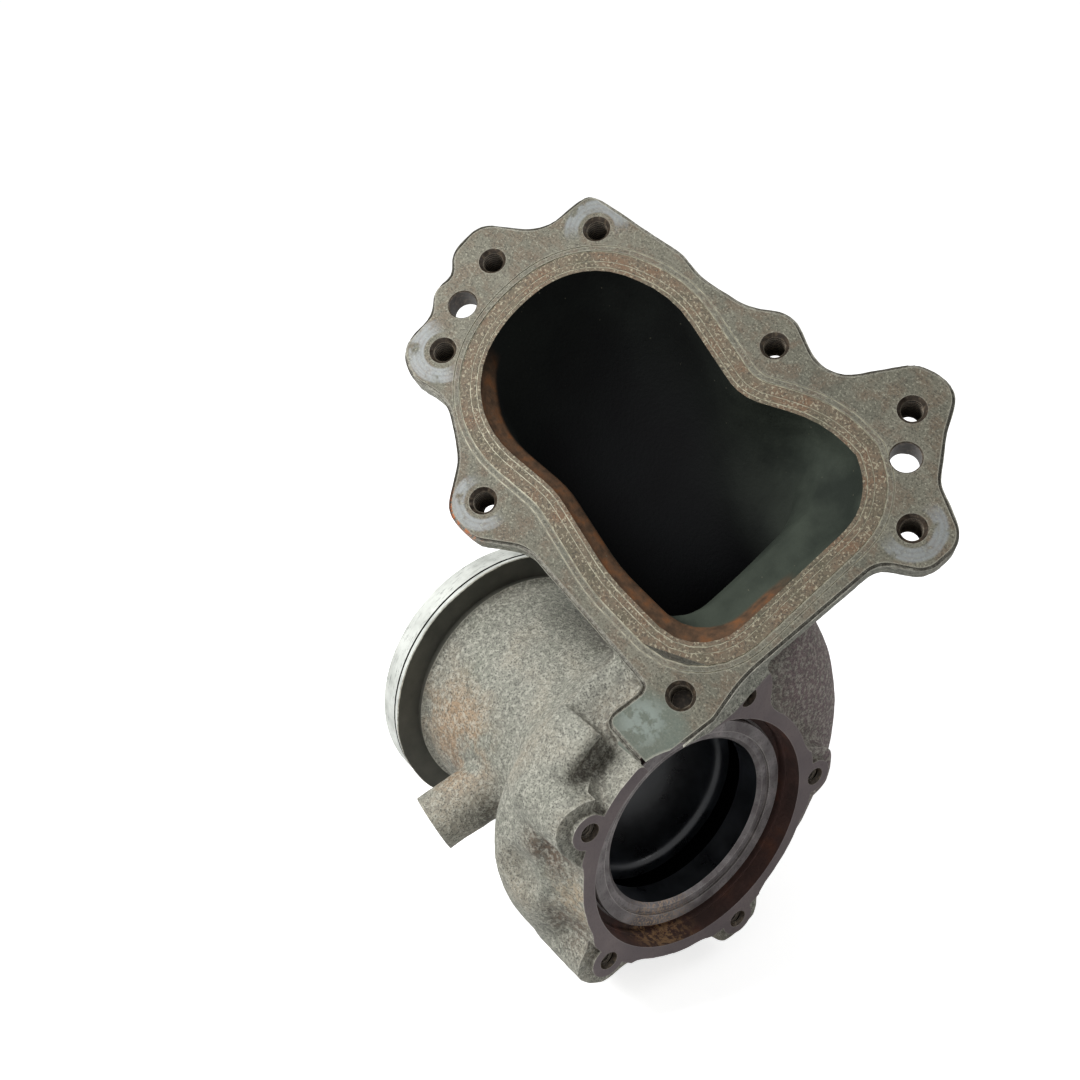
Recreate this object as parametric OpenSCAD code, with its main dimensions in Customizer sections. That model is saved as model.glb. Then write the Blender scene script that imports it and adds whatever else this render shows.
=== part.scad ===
// Turbocharger turbine housing: one grey iron casting with machined faces.
// A wide inlet flange feeds a tapering duct, the duct winds into a scroll,
// the scroll opens through a ring nozzle into the turbine bore, and the gas
// leaves through an outlet pipe with a clamp ring at its end.

/* [Wheel axis and levels] */
// Angle between the inlet face's normal and the wheel axis
inlet_angle = 61; // [55:1:66]
// Distance from the round flange's face to the clamp ring's far end
body_len = 142; // [136:1:150]
// Depth from the round flange's face to the nozzle slot's near edge
nozzle_z = 20; // [18:0.5:22]
// Axial width of the nozzle slot
nozzle_w = 9; // [6:0.5:11]

/* [Round flange] */
// Radius of the counterbore that takes the bearing housing
register_r = 50; // [49.5:0.5:51]
// Depth of the counterbore's seat
register_depth = 7; // [5:0.5:8]
// Outer radius of the groove round the seat ring
groove_r = 49; // [48:0.2:49.4]
// Outer radius of the raised seat ring
seat_r = 45.6; // [44:0.2:46]
// Depth of the groove round the seat ring, below the face
groove_depth = 10.5; // [9:0.5:12]
// Radius of the bore that the wheel passes through
wheel_bore_r = 36.4; // [34:0.2:38]
// Outer radius of the flange between its lobes
flange_r = 55.5; // [54:0.5:58]
// Thickness of the flange
flange_t = 14; // [11:1:16]
// Radius of the bolt circle
lobe_pcd_r = 58.8; // [57:0.2:61]
// Radius of a lobe
lobe_r = 11; // [9:0.5:12]
// Diameter of the tapped holes in the lobes
lobe_hole_d = 6.8; // [5:0.1:8]
// Depth of the tapped holes in the lobes
lobe_hole_depth = 12; // [10:0.5:12.5]
// Turn of the lobe pattern about the wheel axis
lobe_turn = -16; // [-20:1:-12]

/* [Scroll] */
// Wall of the scroll and the duct
wall = 6.5; // [5:0.5:8]
// Depth of the scroll's middle plane below the round flange's face
scroll_z = 34; // [32:0.5:37]
// Outer radius of the scroll where it starts, at the tongue
scroll_r0 = 58; // [56:0.5:61]
// Outer radius of the scroll where the duct joins it
scroll_r1 = 92; // [86:1:96]
// Inner radius of the gas passage round the wheel
passage_r = 38.5; // [37:0.5:40]
// Half height of the passage at its small end
passage_h0 = 11; // [9:0.5:13]
// Half height of the passage at its large end
passage_h1 = 20; // [18:0.5:22]

/* [Inlet flange] */
// Thickness of the flange plate
plate_t = 11.5; // [9:0.5:14]
// Depth of the bosses behind the tapped holes, from the face
boss_depth = 19; // [15:0.5:22]
// Radius of the ears round the holes
ear_r = 13.5; // [12:0.5:15]
// Diameter of the tapped holes
tapped_d = 8.8; // [7:0.1:10]
// Diameter of the mouths of the tapped holes
mouth_d = 11.4; // [10.5:0.1:12.5]
// Diameter of the two plain holes
plain_d = 11.6; // [9:0.1:12.5]
// Depth of the blind tapped hole in the tab
blind_depth = 12.5; // [9:0.5:16]

/* [Outlet] */
// Radius of the bore behind the wheel
throat_r = 31; // [29:0.5:33]
// Radius of the outlet at its end
outlet_r = 46; // [42:0.5:48]
// Wall of the outlet pipe next to the clamp ring
pipe_wall = 5; // [4:0.5:7]
// Height of the clamp ring above the pipe
ring_rise = 10.3; // [8:0.1:12]
// Width of the clamp ring along the axis
ring_w = 14; // [11:0.5:16]
// Depth of the seal groove round the ring
ring_groove = 1.2; // [0.6:0.1:2]

/* [Side boss] */
// Radius of the round boss beside the outlet pipe
stub_r = 12.5; // [10:0.5:14]
// How far its end stands from the wheel axis
stub_reach = 68.5; // [62:1:78]

/* [Hidden] */
$fn = 96;

// The wheel axis lies along X; this turns the inlet up and forward
stand_turn = 180 + 39;
// Place of the inlet face's centre, from the middle of the round flange's face
inlet_at = [82, -102, -62.5];
// Holes of the inlet flange, in the plane of its face
tapped_holes = [
    [86, -57], [112, -21], [102, 21], [46, 58.5], [-3.5, -58.5], [-60, -68], [-87.5, -31]
];
plain_holes = [[109, 1], [-69.5, -51.5]];
blind_hole = [-61.5, 69];
// Corners of the opening and the radius of each
opening = [
    [84, -44, 34], [42, -52, 50], [-6, -34, 24], [-40, -46, 50], [-72, -36, 26],
    [-60, 57, 22], [-12, 51, 80], [26, 38, 40], [84, 36, 40], [90, -8, 60]
];
// Corners of the flange plate round its ears and its tab, and the radius of each
plate = [
    [99.5, -68.5, 6], [50, -68.6, 20], [38, -65, 30], [16, -65.5, 20], [-1, -73.4, 13], [-27, -58.5, 16],
    [-50, -84, 10], [-68, -86.5, 12], [-75.5, -68, 12], [-85, -51, 12], [-105, -38.5, 11],
    [-102, -21, 10], [-86, -13, 10], [-75, 50, 60], [-76.5, 68, 8], [-70, 97, 3.5], [-45.5, 93.5, 4],
    [-50, 74.5, 3], [20, 62.4, 16], [38.5, 72.8, 11], [54.5, 71.5, 12], [66, 51, 30], [86, 36, 20],
    [104, 38, 12], [117.5, 31, 11], [117, 12, 6], [124, 3, 6], [121.5, -6, 6], [128.5, -13.5, 7],
    [128.5, -31, 12], [104.5, -43, 18]
];
// Part of the round flange that the cutter of the inlet face takes away, beside the tab
cut_from = [-92, 40];
cut_size = [52, 57, 22];

ring_points = 32;
ring_steps = 34;
duct_steps = 9;
duct_lead = 52;
duct_tail = 46;
entry_turn = -90;
scroll_sweep = 285;
shape_power = 2.6;
entry_swell = 4;
overlap = 1;
drill_past = 12;
clear_above = 14;

lobe_turns = [-41, 41, 110.5, 180, 249.5];
lobe_draft = 1.5;
lobe_root = 32;
hub_r = flange_r - 1.5;
hub_end = -scroll_z - 14;
hub_cone = 16;
neck_r = outlet_r + pipe_wall;
neck_dip = 1.5;
neck_cove = 12;
ring_r = neck_r + ring_rise;
ring_lip = 2;
ring_cove = 3;
ring_edge = 1;
shroud_step = 1;
throat_in = 10;
throat_len = 12;
cone_len = 26;
cone_share = 0.35;
outlet_len = 8;
outlet_cove = 10;
seat_land = 5;
seat_step = 1.2;
seat_chamfer = 1.5;
nozzle_past = 4;
web_reach = 12;
web_half = 21;
shoulder_from = 21;
shoulder_sweep = 104;
shoulder_r = 63.5;
body_end = -body_len;
groove_z = body_end + ring_w - 4;

function unit(v) = v / norm(v);
function mix(a, b, t) = a + (b - a) * t;
function early(t) = 1 - pow(1 - t, 1.7);
function wrap(list, i) = list[(i + len(list)) % len(list)];

// Points of the round that replaces corner b between corners a and c
function corner_round(a, b, c, r, steps = 6) =
    let (u = unit(a - b), v = unit(c - b), half = acos(u * v) / 2,
         centre = b + unit(u + v) * r / sin(half),
         from = b + u * r / tan(half) - centre, to = b + v * r / tan(half) - centre,
         first = atan2(from.y, from.x), turn = atan2(to.y, to.x) - first,
         sweep = turn > 180 ? turn - 360 : turn < -180 ? turn + 360 : turn)
    [for (i = [0 : steps]) centre + r * [cos(first + sweep * i / steps), sin(first + sweep * i / steps)]];

// Outline through corners, each given as [x, y, radius]
function rounded(corners) = [
    for (i = [0 : len(corners) - 1])
        let (a = wrap(corners, i - 1), b = corners[i], c = wrap(corners, i + 1))
        each corner_round([a.x, a.y], [b.x, b.y], [c.x, c.y], b.z)
];

// Distance from the middle of an outline to its edge, in direction ang
function edge_distance(outline, ang) =
    let (d = [cos(ang), sin(ang)])
    max([for (i = [0 : len(outline) - 1])
        let (p = outline[i], q = wrap(outline, i + 1), e = q - p,
             det = d.x * e.y - d.y * e.x,
             s = det == 0 ? 0 : (p.x * e.y - p.y * e.x) / det,
             t = det == 0 ? -1 : (p.x * d.y - p.y * d.x) / det)
        (s > 0 && t >= 0 && t <= 1) ? s : 0]);

opening_outline = rounded(opening);

// Point k of a ring round the opening, the points spread evenly along a long oval
function wide_point(k, skin) =
    let (turn = 360 * k / ring_points, ang = atan2(46 * sin(turn), 80 * cos(turn)))
    (edge_distance(opening_outline, ang) + skin) * [cos(ang), sin(ang)];

// Point k of a rounded box of half sizes hu and hv
function box_point(k, hu, hv) =
    let (ang = 360 * k / ring_points,
         sum = pow(abs(cos(ang)) / hu, shape_power) + pow(abs(sin(ang)) / hv, shape_power))
    pow(sum, -1 / shape_power) * [cos(ang), sin(ang)];

// Scroll at sweep t, from 0 at the duct to 1 at the tongue
function scroll_out(t) = mix(scroll_r1, scroll_r0, t) + entry_swell * pow(1 - t, 8);
function scroll_half_v(t) = (scroll_out(t) - wall - passage_r) / 2;
function scroll_half_u(t) = mix(passage_h1, passage_h0, t);
function scroll_mid(t) = passage_r + scroll_half_v(t);

function scroll_ring(t, skin) =
    let (turn = entry_turn - t * scroll_sweep,
         radial = [cos(turn), sin(turn), 0],
         centre = radial * scroll_mid(t) - [0, 0, scroll_z])
    [for (k = [0 : ring_points - 1])
        let (p = box_point(k, scroll_half_u(t) + skin, scroll_half_v(t) + skin))
        centre - [0, 0, p.x] - radial * p.y];

// Duct at t, from 0 at the inlet face to 1 at the scroll
face_normal = [sin(inlet_angle), 0, cos(inlet_angle)];
entry_at = [0, -scroll_mid(0), -scroll_z];
duct_from = inlet_at - face_normal * duct_lead;
duct_to = entry_at + [duct_tail, 0, 0];
function duct_mid(t) =
    pow(1 - t, 3) * inlet_at + 3 * pow(1 - t, 2) * t * duct_from
    + 3 * (1 - t) * t * t * duct_to + pow(t, 3) * entry_at;

function duct_ring(t, skin, ahead = 0) =
    let (tilt = mix(inlet_angle, 90, t), u = [cos(tilt), 0, -sin(tilt)],
         centre = duct_mid(t) + ahead * face_normal)
    [for (k = [0 : ring_points - 1])
        let (p = mix(wide_point(k, skin),
                     box_point(k, scroll_half_u(0) + skin, scroll_half_v(0) + skin), early(t)))
        centre + u * p.x + [0, 1, 0] * p.y];

// Closed body through a list of rings of equal length
module through(rings) {
    n = len(rings[0]);
    last = len(rings) - 1;
    polyhedron(
        points = [for (ring = rings) each ring],
        faces = concat(
            [[for (k = [0 : n - 1]) n - 1 - k]],
            [for (i = [0 : last - 1], k = [0 : n - 1])
                [i * n + k, i * n + (k + 1) % n, (i + 1) * n + k]],
            [for (i = [0 : last - 1], k = [0 : n - 1])
                [i * n + (k + 1) % n, (i + 1) * n + (k + 1) % n, (i + 1) * n + k]],
            [[for (k = [0 : n - 1]) last * n + k]]
        )
    );
}

// Duct and scroll in one sweep: the gas passage, or with a skin the casting round it
module gas_path(skin, ahead) {
    through(concat(
        [for (i = [0 : duct_steps]) duct_ring(i / duct_steps, skin, i == 0 ? ahead : 0)],
        [for (i = [1 : ring_steps]) scroll_ring(i / ring_steps, skin)]
    ));
}

module on_inlet_face() {
    translate(inlet_at) rotate([0, inlet_angle, 0]) children();
}

module at_points(points) {
    for (p = points) translate([p.x, p.y, 0]) children();
}

// The flange plate with its ears, its tab and the bosses behind its tapped holes
module inlet_flange() {
    on_inlet_face() {
        translate([0, 0, -plate_t]) linear_extrude(plate_t) polygon(rounded(plate));
        at_points(concat(tapped_holes, [blind_hole]))
            translate([0, 0, -boss_depth]) cylinder(r = ear_r - 2, h = boss_depth - 1);
    }
}

module inlet_cutter() {
    on_inlet_face() translate(cut_from) cube(cut_size);
}

module inlet_holes() {
    mouth = (mouth_d - tapped_d) / 2;
    on_inlet_face() {
        at_points(tapped_holes)
            translate([0, 0, -boss_depth - drill_past])
                cylinder(d = tapped_d, h = boss_depth + drill_past + overlap);
        at_points(plain_holes)
            translate([0, 0, -plate_t - drill_past])
                cylinder(d = plain_d, h = plate_t + drill_past + overlap);
        at_points([blind_hole])
            translate([0, 0, -blind_depth]) cylinder(d = tapped_d, h = blind_depth + overlap);
        at_points(concat(tapped_holes, [blind_hole]))
            translate([0, 0, -mouth]) cylinder(d1 = tapped_d, d2 = mouth_d + 0.2, h = mouth + 0.1);
    }
}

module at_lobes() {
    for (turn = lobe_turns) rotate(lobe_turn + turn) translate([lobe_pcd_r, 0, 0]) children();
}

// Round flange, hub, outlet pipe and clamp ring, turned about the wheel axis
module turned_body() {
    rotate_extrude() polygon([
        [0, 0], [flange_r, 0], [flange_r, -flange_t], [hub_r, -flange_t - 4],
        [hub_r, hub_end], [neck_r - 3, hub_end - hub_cone], [neck_r, body_end + ring_w + neck_cove],
        [neck_r - neck_dip, body_end + ring_w + ring_cove], [ring_r - ring_lip, body_end + ring_w],
        [ring_r, body_end + ring_w - ring_lip],
        [ring_r, groove_z + ring_edge], [ring_r - ring_groove, groove_z + ring_edge],
        [ring_r - ring_groove, groove_z], [ring_r, groove_z],
        [ring_r, body_end + ring_edge], [ring_r - ring_edge, body_end], [0, body_end]
    ]);
}

// Lobes with flanks that widen into the flange
module lobes() {
    at_lobes() {
        translate([0, 0, -lobe_root]) cylinder(r1 = lobe_r + lobe_draft, r2 = lobe_r, h = lobe_root - 0.6);
        translate([0, 0, -flange_t - 2]) linear_extrude(flange_t + 1) polygon([
            [-web_reach, -web_half], [3.6, 0.5 - lobe_r], [3.6, lobe_r - 0.5], [-web_reach, web_half]
        ]);
    }
}

// Shoulder that carries the flange down to the narrow part of the scroll
module shoulder() {
    rotate(shoulder_from) rotate_extrude(angle = shoulder_sweep) polygon([
        [44, -3], [flange_r - 0.7, -3], [shoulder_r, -25], [shoulder_r, -scroll_z - 8], [44, -scroll_z - 8]
    ]);
}

module lobe_holes() {
    at_lobes()
        translate([0, 0, -lobe_hole_depth]) cylinder(d = lobe_hole_d, h = lobe_hole_depth + overlap);
}

// Counterbore, seat ring, wheel bore, nozzle slot, wheel shroud and outlet bore
module turned_hollow() {
    shroud_z = -nozzle_z - nozzle_w;
    throat_z = shroud_z - throat_in;
    cone_z = throat_z - throat_len;
    seat_z = -register_depth;
    rotate_extrude() polygon([
        [0, clear_above], [register_r, clear_above], [register_r, seat_z],
        [groove_r, seat_z], [groove_r, -groove_depth], [seat_r, -groove_depth],
        [seat_r, seat_z], [seat_r - seat_land, seat_z], [seat_r - seat_land, seat_z - seat_step],
        [wheel_bore_r + seat_chamfer, seat_z - seat_step], [wheel_bore_r, seat_z - seat_step - seat_chamfer],
        [wheel_bore_r, -nozzle_z], [passage_r + nozzle_past, -nozzle_z], [passage_r + nozzle_past, shroud_z],
        [wheel_bore_r - shroud_step, shroud_z], [throat_r + 2, shroud_z - 1], [throat_r + 1, shroud_z - 3.5],
        [throat_r, throat_z], [throat_r, cone_z],
        [mix(throat_r, outlet_r, cone_share), cone_z - cone_len],
        [outlet_r - 2, body_end + outlet_len + outlet_cove],
        [outlet_r, body_end + outlet_len], [outlet_r, body_end - overlap], [0, body_end - overlap]
    ]);
}

// Round boss beside the outlet pipe, with its axis leaning towards the clamp ring
stub_lean = 17;
stub_root = [19.5, 30, -78];
module side_boss() {
    length = (stub_reach - stub_root.y) / cos(stub_lean);
    translate(stub_root) rotate([-90 - stub_lean, 0, -5]) cylinder(r = stub_r, h = length);
}

module turbine_housing() {
    color("dimgray") rotate([0, 90, 0]) rotate(stand_turn) difference() {
        union() {
            difference() {
                union() {
                    turned_body();
                    lobes();
                    shoulder();
                }
                inlet_cutter();
            }
            gas_path(wall, -2);
            inlet_flange();
            side_boss();
        }
        turned_hollow();
        gas_path(0, 2);
        inlet_holes();
        lobe_holes();
    }
}

turbine_housing();
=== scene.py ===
import math
import bmesh
import bpy
from mathutils import Vector, Matrix


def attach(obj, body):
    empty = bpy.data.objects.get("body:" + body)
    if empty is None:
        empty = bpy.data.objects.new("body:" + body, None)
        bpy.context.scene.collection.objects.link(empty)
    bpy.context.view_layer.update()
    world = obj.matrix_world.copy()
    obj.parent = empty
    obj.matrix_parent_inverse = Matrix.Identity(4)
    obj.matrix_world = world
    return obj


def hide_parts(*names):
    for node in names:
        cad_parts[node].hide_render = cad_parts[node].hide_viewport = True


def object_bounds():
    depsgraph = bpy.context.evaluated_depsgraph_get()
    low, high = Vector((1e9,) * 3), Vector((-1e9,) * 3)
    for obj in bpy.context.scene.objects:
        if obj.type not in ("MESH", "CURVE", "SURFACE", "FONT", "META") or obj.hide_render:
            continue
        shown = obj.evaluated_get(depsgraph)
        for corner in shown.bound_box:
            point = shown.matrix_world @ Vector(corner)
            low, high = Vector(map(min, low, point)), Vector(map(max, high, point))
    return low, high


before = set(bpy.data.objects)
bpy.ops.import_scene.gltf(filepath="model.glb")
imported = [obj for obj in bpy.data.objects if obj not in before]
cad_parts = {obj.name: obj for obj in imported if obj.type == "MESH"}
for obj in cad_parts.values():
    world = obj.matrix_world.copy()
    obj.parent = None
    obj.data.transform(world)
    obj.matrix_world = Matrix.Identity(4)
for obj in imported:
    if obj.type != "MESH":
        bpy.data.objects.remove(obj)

MM = 0.001
cad_low, cad_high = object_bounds()

# Places
# Lengths below are millimetres in the housing's own drawing: z along the wheel
# axis out of the round flange, the inlet flange facing x. The part stands with
# its wheel axis along X, turned so that the inlet looks up and forward.
STAND = math.radians(219)
TO_PART = Matrix.Rotation(math.radians(90), 4, "Y") @ Matrix.Rotation(STAND, 4, "Z")
SCALE = Matrix.Scale(MM, 4)
INLET_AT = Vector((82, -102, -62.5))
INLET_TILT = 61
INLET_TURN = math.radians(INLET_TILT)
TO_INLET = Matrix.Translation(INLET_AT) @ Matrix.Rotation(INLET_TURN, 4, "Y")
FACE_NORMAL = Vector((math.sin(INLET_TURN), 0, math.cos(INLET_TURN)))

WALL = 6.5
TAPPED = [(86, -57), (112, -21), (102, 21), (46, 58.5), (-3.5, -58.5), (-60, -68), (-87.5, -31)]
PLAIN = [(109, 1), (-69.5, -51.5)]
BLIND = (-61.5, 69)
LOBE_TURNS = (-41, 41, 110.5, 180, 249.5)
LOBE_TURN = -16
OPENING = [(84, -44, 34), (42, -52, 50), (-6, -34, 24), (-40, -46, 50), (-72, -36, 26),
           (-60, 57, 22), (-12, 51, 80), (26, 38, 40), (84, 36, 40), (90, -8, 60)]
PLATE = [(99.5, -68.5, 6), (50, -68.6, 20), (38, -65, 30), (16, -65.5, 20), (-1, -73.4, 13), (-27, -58.5, 16),
         (-50, -84, 10), (-68, -86.5, 12), (-75.5, -68, 12), (-85, -51, 12), (-105, -38.5, 11),
         (-102, -21, 10), (-86, -13, 10), (-75, 50, 60), (-76.5, 68, 8), (-70, 97, 3.5), (-45.5, 93.5, 4),
         (-50, 74.5, 3), (20, 62.4, 16), (38.5, 72.8, 11), (54.5, 71.5, 12), (66, 51, 30), (86, 36, 20),
         (104, 38, 12), (117.5, 31, 11), (117, 12, 6), (124, 3, 6), (121.5, -6, 6), (128.5, -13.5, 7),
         (128.5, -31, 12), (104.5, -43, 18)]


def rounded(corners, steps=8):
    """Outline through corners given as x, y and radius."""
    points = []
    n = len(corners)
    for i in range(n):
        a, b, c = (Vector(corners[(i + k) % n][:2]) for k in (-1, 0, 1))
        r = corners[i][2]
        u, v = (a - b).normalized(), (c - b).normalized()
        half = u.angle(v) / 2
        centre = b + (u + v).normalized() * r / math.sin(half)
        start = b + u * r / math.tan(half) - centre
        end = b + v * r / math.tan(half) - centre
        first = math.atan2(start.y, start.x)
        sweep = math.atan2(end.y, end.x) - first
        sweep = (sweep + math.pi) % (2 * math.pi) - math.pi
        for k in range(steps + 1):
            t = first + sweep * k / steps
            points.append((centre.x + r * math.cos(t), centre.y + r * math.sin(t)))
    return points


def edge_distance(outline, ang):
    """Distance from the outline's middle to its edge, in direction ang."""
    dx, dy = math.cos(ang), math.sin(ang)
    best = 0
    for i in range(len(outline)):
        px, py = outline[i]
        qx, qy = outline[(i + 1) % len(outline)]
        ex, ey = qx - px, qy - py
        det = dx * ey - dy * ex
        if abs(det) < 1e-12:
            continue
        s = (px * ey - py * ex) / det
        t = (px * dy - py * dx) / det
        if s > best and -1e-9 <= t <= 1 + 1e-9:
            best = s
    return best


# Mesh tools
def clear_selection():
    bpy.ops.object.select_all(action="DESELECT")


def add_mesh(name, points, faces, turn=None):
    """A new object from points in millimetres, put in the part's frame."""
    mesh = bpy.data.meshes.new(name)
    mesh.from_pydata([tuple(p) for p in points], [], faces)
    mesh.transform(SCALE @ TO_PART @ (turn or Matrix.Identity(4)))
    obj = bpy.data.objects.new(name, mesh)
    bpy.context.scene.collection.objects.link(obj)
    outward(obj)
    return obj


def outward(obj):
    """Joins points that lie on each other and turns the faces outward."""
    bm = bmesh.new()
    bm.from_mesh(obj.data)
    bmesh.ops.remove_doubles(bm, verts=bm.verts, dist=1e-7)
    bmesh.ops.recalc_face_normals(bm, faces=bm.faces)
    bm.to_mesh(obj.data)
    bm.free()


def wound(count, steps):
    """Faces between the turns of a line of count points, the last turn joined to the first."""
    faces = []
    for k in range(steps):
        here, after = k * count, (k + 1) % steps * count
        faces += [(here + i, after + i, after + i + 1, here + i + 1) for i in range(count - 1)]
    return faces


def turned(name, profile, steps=144, turn=None):
    """A solid turned about z from a profile of (radius, z)."""
    points = []
    for k in range(steps):
        a = 2 * math.pi * k / steps
        points += [(r * math.cos(a), r * math.sin(a), z) for r, z in profile]
    return add_mesh(name, points, wound(len(profile), steps), turn)


def slab(name, outline, low, high, turn=None):
    """An outline drawn out from height low to height high."""
    n = len(outline)
    points = [(x, y, low) for x, y in outline] + [(x, y, high) for x, y in outline]
    faces = [tuple(range(n)), tuple(range(n, 2 * n))]
    faces += [(k, (k + 1) % n, (k + 1) % n + n, k + n) for k in range(n)]
    return add_mesh(name, points, faces, turn)


def band(name, inner, outer, low, high, turn):
    """A flat ring between two outlines of equal length."""
    n = len(inner)
    points = [(x, y, z) for z in (low, high) for line in (inner, outer) for x, y in line]
    faces = []
    for k in range(n):
        j = (k + 1) % n
        faces += [(k, j, n + j, n + k), (2 * n + k, 2 * n + j, 3 * n + j, 3 * n + k),
                  (k, j, 2 * n + j, 2 * n + k), (n + k, n + j, 3 * n + j, 3 * n + k)]
    return add_mesh(name, points, faces, turn)


def sector(name, profile, start, sweep, steps):
    """A closed profile of (radius, z) turned through part of a circle."""
    m = len(profile)
    points, faces = [], []
    for k in range(steps + 1):
        a = math.radians(start + sweep * k / steps)
        points += [(r * math.cos(a), r * math.sin(a), z) for r, z in profile]
    for k in range(steps):
        for i in range(m):
            j = (i + 1) % m
            faces.append((k * m + i, (k + 1) * m + i, (k + 1) * m + j, k * m + j))
    faces += [tuple(range(m)), tuple(range(steps * m, steps * m + m))]
    return add_mesh(name, points, faces)


def skin(name, rings):
    """A closed body through a list of rings of equal length."""
    n = len(rings[0])
    points = [p for ring in rings for p in ring]
    faces = [tuple(range(n)), tuple(range((len(rings) - 1) * n, len(rings) * n))]
    for i in range(0, (len(rings) - 1) * n, n):
        faces += [(i + k, i + (k + 1) % n, i + n + (k + 1) % n, i + n + k) for k in range(n)]
    return add_mesh(name, points, faces)


def apply_modifiers(obj):
    clear_selection()
    obj.select_set(True)
    bpy.context.view_layer.objects.active = obj
    for mod in list(obj.modifiers):
        bpy.ops.object.modifier_apply(modifier=mod.name)


def combine(obj, tool, how):
    """Adds the tool to the body, or takes it away, and drops the tool."""
    mod = obj.modifiers.new("cut", "BOOLEAN")
    mod.operation = how
    mod.solver = "MANIFOLD"
    mod.object = tool
    apply_modifiers(obj)
    bpy.data.objects.remove(tool)


def paint(obj, coat):
    """Gives every face one finish; all pieces of the casting share one list of them."""
    finishes = FINISHES if coat in FINISHES else [coat]
    obj.data.materials.clear()
    for one in finishes:
        obj.data.materials.append(one)
    index = finishes.index(coat)
    for face in obj.data.polygons:
        face.material_index = index


# Materials
def colour(code):
    """sRGB hex to linear."""
    parts = [int(code[i:i + 2], 16) / 255 for i in (0, 2, 4)]
    return tuple(c / 12.92 if c <= 0.04045 else ((c + 0.055) / 1.055) ** 2.4 for c in parts) + (1,)


def node(tree, kind, links=(), **settings):
    """Adds a shader node with its settings and its links, given as (input, source socket)."""
    made = tree.nodes.new(kind)
    for key, value in settings.items():
        setattr(made, key, value)
    for name, value in links:
        socket = made.inputs[name]
        if isinstance(value, bpy.types.NodeSocket):
            tree.links.new(value, socket)
        else:
            socket.default_value = value
    return made


def material(name):
    mat = bpy.data.materials.new(name)
    mat.use_nodes = True
    tree = mat.node_tree
    tree.nodes.clear()
    place = node(tree, "ShaderNodeTexCoord").outputs["Object"]
    return mat, tree, place


def grain(tree, place, size_mm, detail=4, rough=0.55):
    """Noise whose lumps are about size_mm across."""
    made = node(tree, "ShaderNodeTexNoise", [
        ("Vector", place), ("Scale", 1 / (size_mm * MM)), ("Detail", detail), ("Roughness", rough)])
    return made.outputs["Fac"]


def stretched(tree, vector, across, size, detail, rough=0.55):
    """Noise in the drawing's millimetres, drawn out along the axes where across is small."""
    squeezed = tuple(share * MM for share in across)
    lines = node(tree, "ShaderNodeMapping", [("Vector", vector), ("Scale", squeezed)]).outputs[0]
    return grain(tree, lines, size, detail, rough)


def ramp(tree, fac, stops):
    """Colours at their places along fac, given as (place, hex)."""
    made = node(tree, "ShaderNodeValToRGB", [("Fac", fac)])
    elements = made.color_ramp.elements
    while len(elements) < len(stops):
        elements.new(0.5)
    for element, (at, code) in zip(elements, stops):
        element.position = at
        element.color = colour(code)
    return made.outputs["Color"]


def mixed(tree, fac, a, b):
    return node(tree, "ShaderNodeMix", [(0, fac), (6, a), (7, b)], data_type="RGBA").outputs[2]


def finish(tree, base, rough, height, depth_mm, metal=0.0, shine=0.5):
    """Ends a material: its colour, roughness and metal, and a bump depth_mm deep."""
    bump = node(tree, "ShaderNodeBump", [("Height", height), ("Distance", depth_mm * MM), ("Strength", 1.0)])
    surface = node(tree, "ShaderNodeBsdfPrincipled", [
        ("Base Color", base), ("Roughness", rough), ("Metallic", metal),
        ("Specular IOR Level", shine), ("Normal", bump.outputs["Normal"])])
    node(tree, "ShaderNodeOutputMaterial", [("Surface", surface.outputs["BSDF"])])


def in_frame(tree, place, matrix=Matrix.Identity(4)):
    """Object coordinates turned into millimetres of a frame of the drawing."""
    spot, turn, _ = (TO_PART @ matrix).decompose()
    return node(tree, "ShaderNodeMapping", [
        ("Vector", place), ("Location", spot * MM), ("Rotation", turn.to_euler()), ("Scale", (MM, MM, MM))],
        vector_type="TEXTURE").outputs[0]


def spread(tree, value, low, high, a=0.0, b=1.0):
    """Value between low and high, laid over a to b with soft ends."""
    return node(tree, "ShaderNodeMapRange", [
        ("Value", value), ("From Min", low), ("From Max", high), ("To Min", a), ("To Max", b)],
        interpolation_type="SMOOTHSTEP").outputs[0]


def patches(tree, place, size_mm, low, high, detail=4):
    """Noise cut to soft patches about size_mm across."""
    return spread(tree, grain(tree, place, size_mm, detail), low, high)


def maths(tree, how, a, b):
    return node(tree, "ShaderNodeMath", [(0, a), (1, b)], operation=how).outputs[0]


def times(tree, a, b):
    return maths(tree, "MULTIPLY", a, b)


def larger(tree, a, b):
    return maths(tree, "MAXIMUM", a, b)


def tinted(tree, base, fac, share, code):
    """Lays a tint over the base colour, as strong as fac times share."""
    return mixed(tree, times(tree, fac, share), base, colour(code))


def vectors(tree, how, a, b):
    """Works on two vectors; a distance and a dot product come out as a number."""
    made = node(tree, "ShaderNodeVectorMath", [(0, a), (1, b)], operation=how)
    return made.outputs["Vector" if how == "SUBTRACT" else "Value"]


def apart(tree, vector, axis):
    return node(tree, "ShaderNodeSeparateXYZ", [("Vector", vector)]).outputs[axis]


def near(tree, vector, centre, inner, outer):
    """1 within inner millimetres of the centre, fading to 0 at outer."""
    return spread(tree, vectors(tree, "DISTANCE", vector, centre), inner, outer, 1.0, 0.0)


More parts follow.
